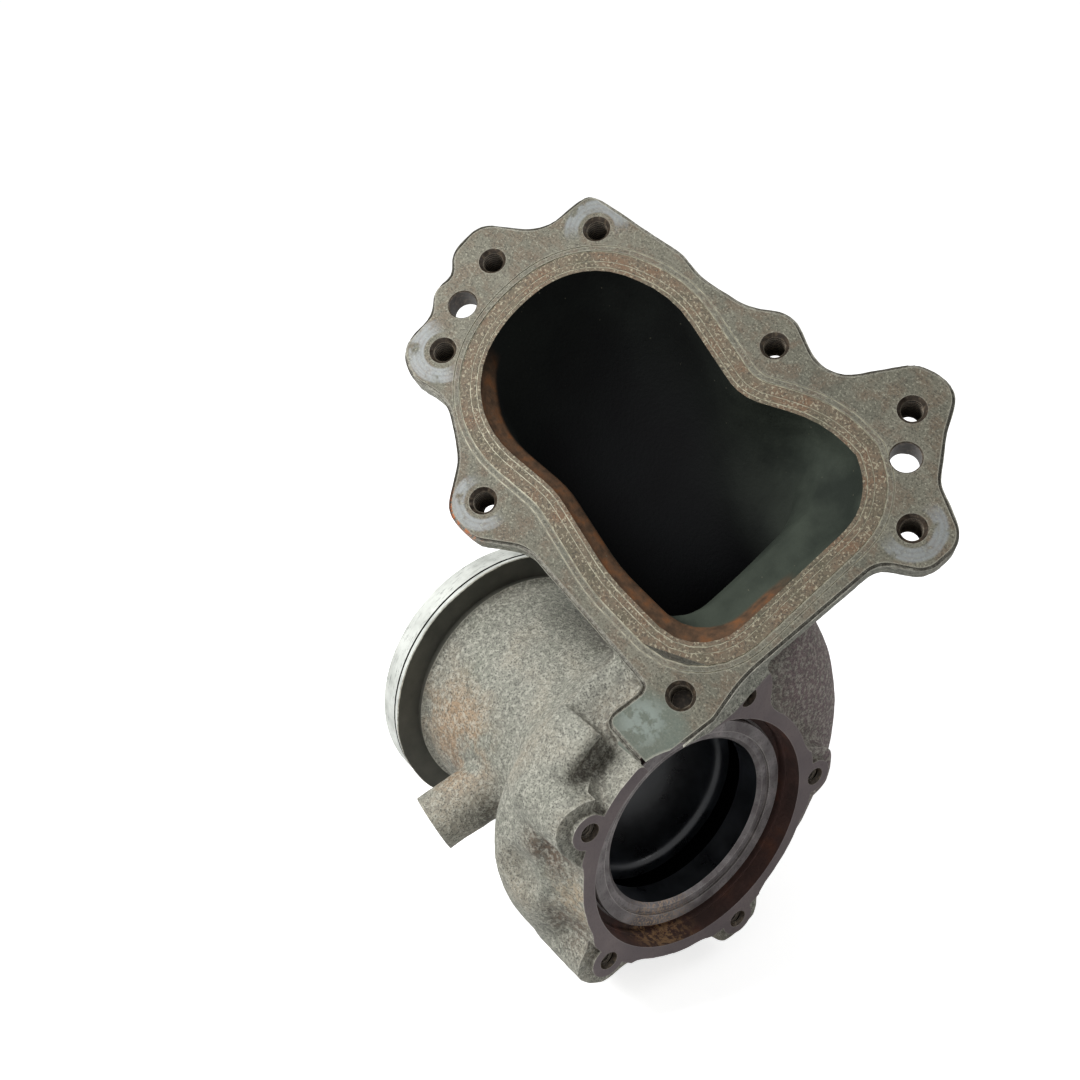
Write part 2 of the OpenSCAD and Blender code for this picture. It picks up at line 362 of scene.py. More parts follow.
def arc(tree, vector, centre, inner, outer, toward, patch):
    """A worn ring round a hole, on the side that toward points to, broken up by patch."""
    gap = vectors(tree, "DISTANCE", vector, centre)
    inside = spread(tree, gap, outer - 1.5, outer, 1.0, 0.0)
    worn = times(tree, spread(tree, gap, inner, inner + 1), inside)
    ripple = node(tree, "ShaderNodeMath", [(0, times(tree, gap, 3.2))], operation="SINE").outputs[0]
    worn = times(tree, worn, spread(tree, ripple, -1.2, 0.6, 0.75, 1.0))
    side = vectors(tree, "DOT_PRODUCT", vectors(tree, "SUBTRACT", vector, centre), toward)
    return times(tree, times(tree, worn, spread(tree, side, -5, 4)), patch)


def corner_wear_and_highlight(tree, radius_mm):
    """1 on the corners, where wear and a painted highlight are laid, 0 on flat ground."""
    eased = node(tree, "ShaderNodeBevel", [("Radius", radius_mm * MM)], samples=4).outputs["Normal"]
    true = node(tree, "ShaderNodeNewGeometry").outputs["Normal"]
    return spread(tree, vectors(tree, "DOT_PRODUCT", eased, true), 0.97, 0.8)


def cast_iron_skin():
    # Sand-cast grey iron, as cast: dull greenish grey, gritty like coarse paper,
    # with tan rust on the pipe and a purple heat tint behind the round flange
    mat, tree, place = material("sand cast grey iron")
    drawn = in_frame(tree, place)
    broad = grain(tree, place, 30, 3)
    grit = grain(tree, place, 1.7, 3, 0.6)
    fine = grain(tree, place, 0.75, 2, 0.7)
    pits = grain(tree, place, 2.6, 2, 0.5)
    base = ramp(tree, broad, [(0.3, "787a6e"), (0.5, "85857a"), (0.7, "8f897a")])
    tan = times(tree, near(tree, drawn, (38, 36, -100), 10, 36), patches(tree, place, 14, 0.36, 0.56))
    base = tinted(tree, base, tan, 0.8, "9c8061")
    brown = near(tree, drawn, (48, 42, -13), 5, 17)
    low = near(tree, drawn, (17, 61, -7), 5, 17)
    stain = times(tree, larger(tree, brown, low), patches(tree, place, 11, 0.34, 0.54))
    base = tinted(tree, base, stain, 0.85, "5a4534")
    lit = times(tree, near(tree, drawn, (32, 53, -1), 4, 20), patches(tree, place, 9, 0.4, 0.56))
    base = tinted(tree, base, lit, 0.7, "b09a7c")
    plum = larger(tree, near(tree, drawn, (-8, -88, -10), 24, 48), near(tree, drawn, (-56, -68, -22), 26, 56))
    base = tinted(tree, base, plum, 0.85, "6b565b")
    # Painted shade: the base darkens to brown in the crevices that the AO finds.
    hollow = node(tree, "ShaderNodeAmbientOcclusion", [("Distance", 24 * MM)], samples=6).outputs["AO"]
    base = mixed(tree, spread(tree, hollow, 0.95, 0.4, 0.0, 0.85), base, colour("443a2f"))
    dark = spread(tree, pits, 0.48, 0.62, 0.0, 0.35)
    base = mixed(tree, dark, base, colour("4b4a43"))
    base = mixed(tree, spread(tree, grit, 0.42, 0.66, 0.0, 0.55), base, colour("bcbbae"))
    base = mixed(tree, spread(tree, fine, 0.5, 0.64, 0.0, 0.75), base, colour("34332e"))
    rust = times(tree, near(tree, drawn, (105, -36, -104), 6, 16), spread(tree, grit, 0.42, 0.55))
    base = mixed(tree, rust, base, colour("a8602c"))
    # Painted highlight along the corners, together with paler wear.
    base = tinted(tree, base, corner_wear_and_highlight(tree, 1.2), 0.45, "c2c0b4")
    height = mixed(tree, 0.4, grit, fine)
    finish(tree, base, spread(tree, grit, 0.3, 0.7, 0.62, 0.8), height, 0.55, 0.15)
    return mat


def milled_face():
    # Milled iron flange face: grey brown with grit, worn to blue grey where washers
    # turned round the holes
    mat, tree, place = material("milled iron face")
    flat = in_frame(tree, place, TO_INLET)
    broad = grain(tree, place, 24, 4)
    cloud = grain(tree, place, 7, 4)
    fine = grain(tree, place, 0.8, 3, 0.7)
    streak = stretched(tree, flat, (0.2, 2.2, 1), 1.4, 3)
    base = ramp(tree, broad, [(0.3, "545449"), (0.5, "636154"), (0.68, "6f6c5f")])
    base = mixed(tree, spread(tree, cloud, 0.42, 0.62, 0.0, 0.55), base, colour("62503f"))
    base = mixed(tree, spread(tree, streak, 0.45, 0.7, 0.0, 0.3), base, colour("868577"))
    base = mixed(tree, spread(tree, fine, 0.48, 0.64, 0.0, 0.8), base, colour("3b382f"))
    base = mixed(tree, spread(tree, grain(tree, place, 0.9, 2), 0.55, 0.7, 0.0, 0.6), base, colour("979584"))
    patch = patches(tree, place, 6, 0.3, 0.5, 3)
    worn = arc(tree, flat, (86, -57, 0), 7, 14, (0.7, -0.7, 0), patch)
    for centre, inner, outer, toward in (
            ((102, 21, 0), 7.5, 15, (0.5, 0.85, 0)),
            ((46, 58.5, 0), 7, 13, (0.3, 0.95, 0)),
            ((-87.5, -31, 0), 7, 13.5, (-0.9, 0.2, 0))):
        worn = larger(tree, worn, arc(tree, flat, centre, inner, outer, toward, patch))
    base = tinted(tree, base, worn, 0.7, "83888a")
    base = tinted(tree, base, near(tree, flat, (-61, 88, 0), 12, 20), 0.7, "5f6a61")
    drops = spread(tree, grain(tree, place, 6, 4, 0.6), 0.46, 0.56)
    splash = times(tree, near(tree, flat, (-57, 85, 0), 4, 12), drops)
    base = tinted(tree, base, splash, 0.6, "89938d")
    # Paler corners: wear and a painted highlight.
    base = tinted(tree, base, corner_wear_and_highlight(tree, 1.0), 0.5, "b3b1a4")
    rough = spread(tree, worn, 0.0, 1.0, 0.66, 0.52)
    finish(tree, base, rough, mixed(tree, 0.5, fine, streak), 0.12, 0.25)
    return mat


def gasket_print():
    # Iron under the old gasket: browner, with the gasket's grit baked on
    mat, tree, place = material("gasket stained iron")
    cloud = grain(tree, place, 9, 4)
    fine = grain(tree, place, 0.9, 3, 0.7)
    base = ramp(tree, cloud, [(0.3, "55503f"), (0.5, "685d4c"), (0.68, "6c5540")])
    base = mixed(tree, spread(tree, fine, 0.48, 0.64, 0.0, 0.8), base, colour("38332a"))
    base = mixed(tree, spread(tree, grain(tree, place, 1.0, 2), 0.54, 0.68, 0.0, 0.8), base, colour("a39c86"))
    finish(tree, base, 0.7, fine, 0.2, 0.15)
    return mat


def gasket_line():
    # The gasket's bead line: a thin pale groove rubbed bright
    mat, tree, place = material("rubbed iron line")
    fine = grain(tree, place, 2.5, 3)
    base = ramp(tree, fine, [(0.35, "767261"), (0.6, "a7a38f")])
    finish(tree, base, 0.5, fine, 0.05, 0.3)
    return mat


def round_face():
    # Turned iron face, purple grey with heat tint, paler at its corners from wear and a painted highlight
    mat, tree, place = material("turned iron face")
    broad = grain(tree, place, 18, 4)
    fine = grain(tree, place, 0.9, 3)
    base = ramp(tree, broad, [(0.3, "5b5254"), (0.55, "665c5c"), (0.7, "6f6463")])
    base = mixed(tree, spread(tree, fine, 0.5, 0.7, 0.0, 0.35), base, colour("474041"))
    base = tinted(tree, base, corner_wear_and_highlight(tree, 0.7), 0.6, "a39b97")
    finish(tree, base, 0.55, fine, 0.08, 0.25)
    return mat


def counterbore_rust():
    # Turned wall gone red brown with dry rust, tan crumbs low down
    mat, tree, place = material("rusted turned iron")
    drawn = in_frame(tree, place)
    broad = grain(tree, place, 9, 5)
    fine = grain(tree, place, 1.3, 3)
    base = ramp(tree, broad, [(0.35, "33211c"), (0.55, "452e28"), (0.72, "5c3a2b")])
    flakes = spread(tree, grain(tree, place, 2.6, 4, 0.7), 0.44, 0.6)
    crumbs = times(tree, near(tree, drawn, (-28, 39, -9), 5, 20), flakes)
    base = tinted(tree, base, crumbs, 0.85, "b08c66")
    finish(tree, base, 0.7, fine, 0.25, 0.05)
    return mat


def seat_ring():
    # Turned seat ring, grey with a whitish rim from wear and a painted highlight, and brown stain
    mat, tree, place = material("turned seat ring iron")
    broad = grain(tree, place, 8, 5)
    fine = grain(tree, place, 1.0, 3)
    base = ramp(tree, broad, [(0.35, "5d5757"), (0.52, "777272"), (0.68, "8d8786")])
    base = mixed(tree, spread(tree, fine, 0.5, 0.68, 0.0, 0.6), base, colour("40393a"))
    base = tinted(tree, base, corner_wear_and_highlight(tree, 0.8), 0.7, "b9b4ae")
    drawn = in_frame(tree, place)
    crumbs = times(tree, near(tree, drawn, (-24, 39, -9), 4, 24), spread(tree, fine, 0.5, 0.6))
    base = tinted(tree, base, crumbs, 0.8, "b39a80")
    finish(tree, base, 0.45, fine, 0.12, 0.35)
    return mat


def soot_and_shade():
    # Cast passage sooted black by the exhaust, the black also painted shade deep inside;
    # green grey dust near the mouth, lightened there as painted light; rusty on the lip at its lower edge
    mat, tree, place = material("sooted iron with painted shade")
    flat = in_frame(tree, place, TO_INLET)
    broad = grain(tree, place, 26, 4)
    fine = grain(tree, place, 1.6, 3)
    depth = apart(tree, flat, "Z")
    # Near black for soot, and as painted shade in the passage's depths.
    base = ramp(tree, broad, [(0.35, "030304"), (0.7, "060708")])
    end = spread(tree, apart(tree, flat, "X"), 20, -50)
    at_end = maths(tree, "ADD", times(tree, end, 0.85), 0.1)
    # Painted light with dust: green grey near the mouth, most toward the shelf end, fading with depth.
    dust_and_light = times(tree, spread(tree, depth, -46, -8), at_end)
    base = mixed(tree, dust_and_light, base, ramp(tree, broad, [(0.3, "262b26"), (0.6, "3d433b")]))
    rim = times(tree, spread(tree, depth, -7, -5), spread(tree, apart(tree, flat, "Y"), 6, 20))
    rust = ramp(tree, grain(tree, place, 5, 4), [(0.35, "42352a"), (0.52, "584333"), (0.7, "6e4a30")])
    base = mixed(tree, rim, base, rust)
    crumbs = times(tree, spread(tree, depth, -30, -8), patches(tree, place, 1.5, 0.76, 0.84, 1))
    base = mixed(tree, crumbs, base, colour("5f5c4e"))
    finish(tree, base, 0.75, fine, 0.2, 0.0, 0.08)
    return mat


def wheel_wall():
    # Turned bore wall round the wheel, oiled blue black and still smooth
    mat, tree, place = material("smoked turned iron")
    broad = grain(tree, place, 14, 4)
    fine = grain(tree, place, 1.2, 3)
    base = ramp(tree, broad, [(0.35, "16181b"), (0.7, "2a2d32")])
    finish(tree, base, spread(tree, broad, 0.3, 0.7, 0.26, 0.4), fine, 0.03, 0.3, 0.6)
    return mat


def ring_face():
    # Bright turned clamp ring, whitish with oxide and scored with dark scratches
    mat, tree, place = material("bright turned iron")
    drawn = in_frame(tree, place)
    broad = grain(tree, place, 12, 4)
    scored = stretched(tree, drawn, (0.25, 0.25, 2.5), 1.2, 4, 0.7)
    base = ramp(tree, broad, [(0.3, "a9aca6"), (0.5, "c6c9c3"), (0.7, "d8dbd5")])
    base = mixed(tree, spread(tree, scored, 0.55, 0.68, 0.0, 0.8), base, colour("4d524f"))
    finish(tree, base, 0.42, scored, 0.06, 0.3)
    return mat


def ring_back_with_shade():
    # Turned back of the clamp ring, dull dark grey, darkened further as painted shade
    mat, tree, place = material("dull turned iron with painted shade")
    broad = grain(tree, place, 12, 4)
    fine = grain(tree, place, 1.1, 3)
    base = ramp(tree, broad, [(0.3, "44443d"), (0.7, "56554c")])
    finish(tree, base, 0.65, fine, 0.1, 0.2)
    return mat


def thread_wall():
    # Tapped hole walls, oiled brown with thread crests made bright by wear and a painted highlight
    mat, tree, place = material("oiled thread iron")
    fine = grain(tree, place, 1.5, 3)
    base = ramp(tree, fine, [(0.35, "2f2922"), (0.55, "453b31"), (0.7, "665a4a")])
    base = tinted(tree, base, corner_wear_and_highlight(tree, 0.5), 0.5, "c3baa6")
    finish(tree, base, 0.4, fine, 0.05, 0.4)
    return mat


def stub_end():
    # Sawn end of the round boss, yellow brown with thin rust
    mat, tree, place = material("sawn iron end")
    broad = grain(tree, place, 6, 4)
    fine = grain(tree, place, 0.9, 3)
    base = ramp(tree, broad, [(0.35, "7a6c52"), (0.5, "96876a"), (0.7, "a89f86")])
    # Paler yellow on the rim: wear and a painted highlight.
    base = tinted(tree, base, corner_wear_and_highlight(tree, 1.0), 0.7, "c0b089")
    finish(tree, base, 0.6, fine, 0.15, 0.15)
    return mat


CAST = cast_iron_skin()
MILLED = milled_face()
GASKET = gasket_print()
LINE = gasket_line()
ROUND = round_face()
RUSTED = counterbore_rust()
SEAT = seat_ring()
SOOT_AND_SHADE = soot_and_shade()
SMOKED = wheel_wall()
BRIGHT = ring_face()
DULL_AND_SHADE = ring_back_with_shade()
SAWN = stub_end()
TAPS = thread_wall()
FINISHES = [CAST, MILLED, GASKET, LINE, ROUND, RUSTED, SEAT, SOOT_AND_SHADE, SMOKED, BRIGHT, DULL_AND_SHADE, SAWN, TAPS]

# Gas path
RING = 96
PASSAGE_R, SCROLL_Z = 38.5, 34
TONGUE_R, ENTRY_R, ENTRY_SWELL = 58, 92, 4
ENTRY_HALF, TONGUE_HALF = 20, 11
SCROLL_START, SCROLL_SWEEP = -90, 285
SQUARENESS = 2.6
WIDE_X, WIDE_Y = 80, 46
LIP_FROM, LIP_OVER = 6, 22
SHELF_FROM, SHELF_OVER = 20, 30

opening_outline = rounded(OPENING)
wide_angles = []
for k in range(RING):
    a = 2 * math.pi * k / RING
    wide_angles.append(math.atan2(WIDE_Y * math.sin(a), WIDE_X * math.cos(a)))
wide_reach = [edge_distance(opening_outline, a) for a in wide_angles]


def blend(a, b, t):
    return a + (b - a) * t


def soft(t):
    t = min(max(t, 0), 1)
    return t * t * (3 - 2 * t)


def wide_point(k, extra):
    """Point k of the inlet's opening, moved out by extra."""
    r = wide_reach[k] + extra
    return Vector((r * math.cos(wide_angles[k]), r * math.sin(wide_angles[k])))


def box_point(k, hu, hv):
    """Point k of the scroll's rounded section, hu and hv from its middle."""
    a = 2 * math.pi * k / RING
    total = (abs(math.cos(a)) / hu) ** SQUARENESS + (abs(math.sin(a)) / hv) ** SQUARENESS
    r = total ** (-1 / SQUARENESS)
    return Vector((r * math.cos(a), r * math.sin(a)))


def half_v(t):
    return (blend(ENTRY_R, TONGUE_R, t) + ENTRY_SWELL * (1 - t) ** 8 - WALL - PASSAGE_R) / 2


def scroll_ring(t, extra):
    """Ring of the scroll, from its entry at t = 0 to its tongue at t = 1."""
    turn = math.radians(SCROLL_START - SCROLL_SWEEP * t)
    radial = Vector((math.cos(turn), math.sin(turn), 0))
    centre = radial * (PASSAGE_R + half_v(t)) - Vector((0, 0, SCROLL_Z))
    ring = []
    for k in range(RING):
        p = box_point(k, blend(ENTRY_HALF, TONGUE_HALF, t) + extra, half_v(t) + extra)
        ring.append(centre - Vector((0, 0, p.x)) - radial * p.y)
    return ring


def scroll_rings(extra, steps=110):
    return [scroll_ring(i / steps, extra) for i in range(1, steps + 1)]


ENTRY = Vector((0, -(PASSAGE_R + half_v(0)), -SCROLL_Z))
DUCT_FROM = INLET_AT - FACE_NORMAL * 52
DUCT_TO = ENTRY + Vector((46, 0, 0))


def duct_ring(t, extra, ahead=0, lip=0, shelf=0):
    """Ring of the duct; a lip narrows it at the lower edge, a shelf at its far end."""
    tilt = math.radians(blend(INLET_TILT, 90, t))
    u = Vector((math.cos(tilt), 0, -math.sin(tilt)))
    s = 1 - t
    centre = s ** 3 * INLET_AT + 3 * s * s * t * DUCT_FROM + 3 * s * t * t * DUCT_TO + t ** 3 * ENTRY
    centre += ahead * FACE_NORMAL
    ring = []
    for k in range(RING):
        at_entry = box_point(k, ENTRY_HALF + extra, half_v(0) + extra)
        p = wide_point(k, extra).lerp(at_entry, 1 - s ** 1.7)
        p.y -= lip * soft((p.y - LIP_FROM) / LIP_OVER)
        p.x += shelf * soft((-p.x - SHELF_FROM) / SHELF_OVER)
        ring.append(centre + u * p.x + Vector((0, p.y, 0)))
    return ring


# Raw casting
BODY_END, RING_W, RING_R, NECK_R = -142, 14, 61.3, 51
FLANGE_R, FLANGE_T, HUB_R = 55.5, 14, 54
PROUD = 2.5
RING_BACK = BODY_END + RING_W
LOBE_AT, LOBE_HOLE_AT = 59.4, 58.8
PLATE_T, BOSS_R, BOSS_T = 11.5, 11.5, 19
STUB_R, STUB_LEAN = 12.5, 17
STUB_LEN = 38.5 / math.cos(math.radians(STUB_LEAN))
MOULD_BLEND, LUMP_SIZE, LUMP_DEPTH = 1.7, 12, 0.8


def lobe_place(turn, reach):
    """Place of a lobe's drawing: reach from the wheel axis, with x outward."""
    return Matrix.Rotation(math.radians(LOBE_TURN + turn), 4, "Z") @ Matrix.Translation((reach, 0, 0))


def inlet_place(x, y):
    return TO_INLET @ Matrix.Translation((x, y, 0))


def over_inlet(name, far, low, high):
    """A block over the whole inlet face, as far as y = far."""
    return slab(name, [(-125, -110), (150, -110), (150, far), (-125, far)], low, high, TO_INLET)


def turned_body():
    """The round flange, hub, outlet pipe and clamp ring, left proud where they are cut."""
    return turned("casting", [
        (0, PROUD), (FLANGE_R, PROUD), (FLANGE_R, -FLANGE_T), (HUB_R, -FLANGE_T - 4),
        (HUB_R, -SCROLL_Z - 14), (NECK_R - 3, -SCROLL_Z - 30), (NECK_R, RING_BACK + 12),
        (NECK_R - 1.5, RING_BACK + 3), (RING_R - 2, RING_BACK + 2), (RING_R + 1, RING_BACK),
        (RING_R + 1, BODY_END - PROUD), (0, BODY_END - PROUD)])


def add_lobes(body):
    flank = [(-12, -21), (3.6, -10.5), (3.6, 10.5), (-12, 21)]
    for turn in LOBE_TURNS:
        at = lobe_place(turn, LOBE_AT)
        combine(body, turned("lobe", [(0, -32), (12.6, -32), (11.8, PROUD), (0, PROUD)], 48, at), "UNION")
        combine(body, slab("lobe flank", flank, -16, -1, at), "UNION")


def add_shoulder(body):
    """The step under the round flange, on the side of the tab, cut clear of the tab."""
    step = [(44, -3), (54.8, -3), (63.5, -25), (63.5, -42), (44, -42)]
    combine(body, sector("shoulder", step, 21, 104, 40), "UNION")
    clear = slab("tab room", [(-92, 40), (-40, 40), (-40, 97), (-92, 97)], 0, 22, TO_INLET)
    combine(body, clear, "DIFFERENCE")


def add_duct(body):
    rings = [duct_ring(i / 24, WALL, -2 if i == 0 else 0) for i in range(25)]
    combine(body, skin("duct skin", rings + scroll_rings(WALL)), "UNION")


def add_inlet_flange(body):
    combine(body, slab("plate", rounded(PLATE), -PLATE_T, PROUD, TO_INLET), "UNION")
    boss = [(0, -BOSS_T), (BOSS_R, -BOSS_T), (BOSS_R, -1), (0, -1)]
    for x, y in TAPPED + [BLIND]:
        combine(body, turned("boss", boss, 48, inlet_place(x, y)), "UNION")


def add_stub(body, at):
    """The round boss beside the pipe."""
    profile = [(0, 0), (STUB_R, 0), (STUB_R, STUB_LEN + 2), (0, STUB_LEN + 2)]
    combine(body, turned("stub", profile, 64, at), "UNION")


def add_ridge(body):
    """Ridge of the scroll's outer wall, running up under the tab."""
    section = [(50, -19), (60, -19), (63, -16.5), (65, -13.5), (67, -13),
               (69.5, -15), (70.5, -20), (70, -28), (67, -38), (50, -38)]
    rings = []
    for i in range(24):
        t = i / 23
        a = math.radians(-35 + 80 * t)
        drop = -5 * soft((t - 0.55) / 0.45)
        u, v = math.cos(a), math.sin(a)
        rings.append([Vector(((r + drop) * u, (r + drop) * v, z + drop)) for r, z in section])
    ridge = skin("ridge", rings)
    combine(ridge, over_inlet("above the ridge", 98, -3, 60), "DIFFERENCE")
    combine(body, ridge, "UNION")


def dent(body, x, y, z, radius):
    """A shallow hollow left by the mould, cut with a ball."""
    ball = [(radius * math.sin(math.pi * i / 16), radius * math.cos(math.pi * i / 16)) for i in range(17)]
    combine(body, turned("dent", ball, 32, Matrix.Translation((x, y, z))), "DIFFERENCE")


def sand_cast(body):
    """Blends the joints between the forms as a sand mould does, then adds the sand's lumps."""
    remesh = body.modifiers.new("blend", "REMESH")
    remesh.mode = "VOXEL"
    remesh.voxel_size = MOULD_BLEND * MM
    smooth = body.modifiers.new("ease", "SMOOTH")
    smooth.factor = 0.5
    smooth.iterations = 5
    lumps = bpy.data.textures.new("mould lumps", "CLOUDS")
    lumps.noise_scale = LUMP_SIZE * MM
    sand = body.modifiers.new("lumps", "DISPLACE")
    sand.texture = lumps
    sand.strength = LUMP_DEPTH * MM
    sand.mid_level = 0.5
    apply_modifiers(body)
    paint(body, CAST)


stub_turn = Matrix.Rotation(math.radians(-5), 4, "Z") @ Matrix.Rotation(math.radians(-90 - STUB_LEAN), 4, "X")
stub_at = Matrix.Translation((19.5, 30, -78)) @ stub_turn

body = turned_body()
add_lobes(body)
add_shoulder(body)
add_duct(body)
add_inlet_flange(body)
add_stub(body, stub_at)
add_ridge(body)
dent(body, 46, 66.7, -24, 20.5)
sand_cast(body)


# Machining
REGISTER_R, GROOVE_R, REGISTER_Z, GROOVE_Z = 50, 49, 7, 10.5


def cut_with(tool, coat):
    """Cuts the body with the tool; the cut faces get the tool's finish."""
    paint(tool, coat)
    combine(body, tool, "DIFFERENCE")


def grown(outline, distance):
    """A closed outline moved out by a distance."""
    line = []
    for k in range(len(outline)):
        along = Vector(outline[(k + 1) % len(outline)]) - Vector(outline[k - 1])
        line.append(Vector(outline[k]) + Vector((along.y, -along.x)).normalized() * distance)
    return line


def cut_faces():
    """The inlet face, and the round face as far as the tab's plate."""
    cut_with(over_inlet("inlet cut", 97, 0, 30), MILLED)
    cut = turned("round face cut", [(0, 0), (90, 0), (90, 12), (0, 12)], 144)
    beside_tab = [(-125, -110), (150, -110), (150, 95), (-74, 95), (-79, 60), (-81, 0), (-125, -8)]
    combine(cut, slab("keep plate", beside_tab, -60, 40, TO_INLET), "DIFFERENCE")
    cut_with(cut, ROUND)


def wear_plate_corner():
    """Worn corner round the plate."""
    outline = rounded(PLATE, 6)
    section = ((-0.9, 0.2), (-0.6, -0.15), (0.1, -0.7), (0.3, -1.4), (1.3, -1.4), (1.3, 0.2))
    n, m = len(outline), len(section)
    points = [(x, y, z) for out, z in section for x, y in grown(outline, out)]
    faces = []
    for i in range(m):
        here, after = i * n, (i + 1) % m * n
        faces += [(here + k, here + (k + 1) % n, after + (k + 1) % n, after + k) for k in range(n)]
    cut_with(add_mesh("plate corner", points, faces, TO_INLET), CAST)


def lower_lobe_ends():
    """Outside the turned face the lobes' ends stay as cast, lower and rounded."""
    cut = turned("lobe ends", [
        (57.5, 12), (57.5, -1.6), (58, -2), (68.5, -2.4), (71, -3.4),
        (72.6, -5.5), (73.2, 12), (57.5, 12)], 144)
    spot = [(0, -20), (8.4, -20), (7.4, 0), (7.4, 20), (0, 20)]
    for turn in LOBE_TURNS:
        combine(cut, turned("spot face", spot, 48, lobe_place(turn, LOBE_HOLE_AT)), "DIFFERENCE")
    combine(cut, over_inlet("keep plate", 100, -60, 40), "DIFFERENCE")
    cut_with(cut, CAST)


def hollow_pocket():
    """Pocket between the flange and the ridge that the scroll makes under the tab."""
    rings = []
    for i in range(15):
        t = i / 14
        a = math.radians(-30 + 48 * t)
        end = 1 - soft((t - 0.72) / 0.28)
        wide = 4 + 5.5 * end
        deep = -4 - 13.5 * end
        section = [
            (55.8, 6), (55.8, deep + 2.5), (57.5, deep + 0.4), (57.5 + 0.4 * wide, deep),
            (57 + 0.75 * wide, deep + 1.2 * end), (56.5 + wide, deep + 3.5 * end), (57 + wide, 6)]
        rings.append([Vector((r * math.cos(a), r * math.sin(a), z)) for r, z in section])
    cut = skin("pocket", rings)
    combine(cut, slab("keep plate", rounded(PLATE), -12, 10, TO_INLET), "DIFFERENCE")
    cut_with(cut, CAST)


def turn_clamp_ring():
    """The clamp ring's rim, its groove and its back, then the pipe's end."""
    groove = RING_BACK - 4
    cut_with(turned("ring cut", [
        (58, BODY_END - 8), (80, BODY_END - 8), (80, RING_BACK - 0.5), (RING_R, RING_BACK - 0.5),
        (RING_R, BODY_END + 1), (RING_R - 1, BODY_END), (58, BODY_END), (58, BODY_END - 8)], 180), BRIGHT)
    # The groove is painted near black, as painted shade.
    cut_with(turned("ring groove", [
        (RING_R - 1.2, groove), (70, groove), (70, groove + 1), (RING_R - 1.2, groove + 1),
        (RING_R - 1.2, groove)], 180), SOOT_AND_SHADE)
    # The back gets dull dark grey, darkened further as painted shade.
    cut_with(turned("ring back cut", [
        (51.5, RING_BACK), (66, RING_BACK), (66, RING_BACK + 5), (54, RING_BACK + 5),
        (52.5, RING_BACK + 4), (51.5, RING_BACK + 1.5), (51.5, RING_BACK)], 180), DULL_AND_SHADE)
    end = [(0, BODY_END - 8), (59, BODY_END - 8), (59, BODY_END), (0, BODY_END)]
    cut_with(turned("end cut", end, 144), BRIGHT)


def saw_stub(at):
    """The boss's end, sawn a little askew and rounded off at its rim."""
    askew = 0.2 * Vector((0.667, 0.095, 0.739))
    normal = (at.to_3x3() @ Vector((0, 0, 1)) + askew).normalized()
    middle = Matrix.Translation(at @ Vector((0, 0, STUB_LEN - 0.6)))
    sawn_at = middle @ normal.to_track_quat("Z", "Y").to_matrix().to_4x4()
    saw = [(0, -0.8), (9.5, -0.6), (11, 0), (24, 0), (24, 12), (0, 12)]
    cut_with(turned("stub cut", saw, 64, sawn_at), SAWN)


def open_passage():
    """The gas passage, with the lip and the shelf in its mouth."""
    steps = [0, 0.008, 0.017, 0.027, 0.038, 0.052, 0.07, 0.09, 0.115, 0.145]
    steps += [0.18 + 0.041 * i for i in range(21)]
    rings = [duct_ring(0, 0, 3)]
    for t in steps:
        lip = 4.2 * soft(t / 0.036) * (1 - soft((t - 0.045) / 0.1))
        shelf = 9 * soft((t - 0.06) / 0.05) * (1 - soft((t - 0.3) / 0.4))
        rings.append(duct_ring(t, 0, 0, lip, shelf))
    cut_with(skin("passage", rings + scroll_rings(0)), SOOT_AND_SHADE)


def print_gasket():
    """Gasket print round the opening, closed by two pairs of bead lines."""
    mouth = [wide_point(k, 0) for k in range(RING)]
    cut_with(band("gasket print", grown(mouth, -3), grown(mouth, 8.4), -0.12, 4, TO_INLET), GASKET)
    for inner, outer, deep in ((1.4, 1.8, 0.3), (4.0, 4.3, 0.25), (8.4, 8.9, 0.4), (10.9, 11.3, 0.35)):
        cut_with(band("bead line", grown(mouth, inner), grown(mouth, outer), -deep, 4, TO_INLET), LINE)


def bore_wheel_side():
    """Counterbore with its groove, the seat ring, then the wheel's bore as far as the outlet."""
    shroud = -29
    cut_with(turned("counterbore", [
        (0, 14), (REGISTER_R, 14), (REGISTER_R, -REGISTER_Z), (GROOVE_R, -REGISTER_Z),
        (GROOVE_R, -GROOVE_Z), (46.4, -GROOVE_Z), (46.4, -REGISTER_Z + 0.1),
        (0, -REGISTER_Z + 0.1)], 180), RUSTED)
    cut_with(turned("seat cut", [
        (0, -6.8), (46.5, -6.8), (46.5, -GROOVE_Z + 0.05), (45.6, -GROOVE_Z + 0.05), (45.6, -7.4),
        (45.2, -REGISTER_Z), (40.6, -REGISTER_Z), (40.6, -8.2), (37.9, -8.2), (36.4, -9.7),
        (0, -9.7)], 180), SEAT)
    cut_with(turned("wheel bore", [
        (0, -9.6), (36.4, -9.6), (36.4, -20), (42.5, -20), (42.5, shroud), (35.4, shroud),
        (34.2, shroud - 0.3), (33.2, shroud - 0.9), (32.4, shroud - 1.9), (31.9, shroud - 3.2),
        (31.6, shroud - 5), (31, shroud - 10), (31, shroud - 22), (36.25, shroud - 48),
        (44, BODY_END + 18), (46, BODY_END + 8), (46, BODY_END - 2), (0, BODY_END - 2)], 180), SMOKED)


